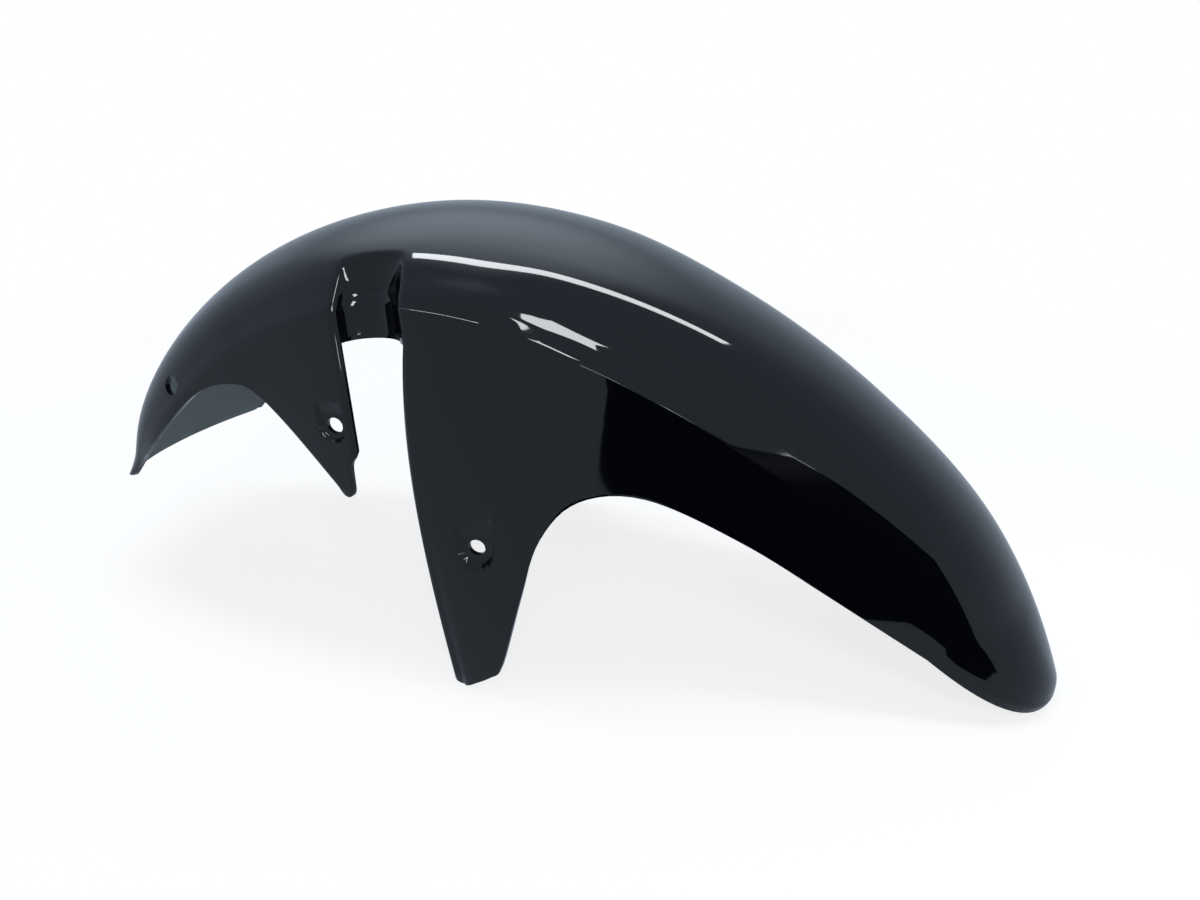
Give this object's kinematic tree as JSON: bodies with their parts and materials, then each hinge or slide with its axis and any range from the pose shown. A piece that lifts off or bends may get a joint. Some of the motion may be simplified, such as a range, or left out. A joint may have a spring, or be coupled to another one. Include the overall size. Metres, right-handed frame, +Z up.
{
  "type": "motorcycle front mudguard",
  "caption": "Long arched motorcycle front mudguard, moulded as one thin shell with fork channels, side tabs and a closed nose.",
  "frame": {"origin": "under the middle of the shell's length, level with its lowest point", "axes": "+X forward along the travel, +Y to the rider's left, +Z up"},
  "size_m": [0.659, 0.246, 0.2705],
  "materials": {
    "gloss_black": "gloss"
  },
  "bodies": {
    "root": {"mudguard": "gloss_black"}
  },
  "joints": []
}
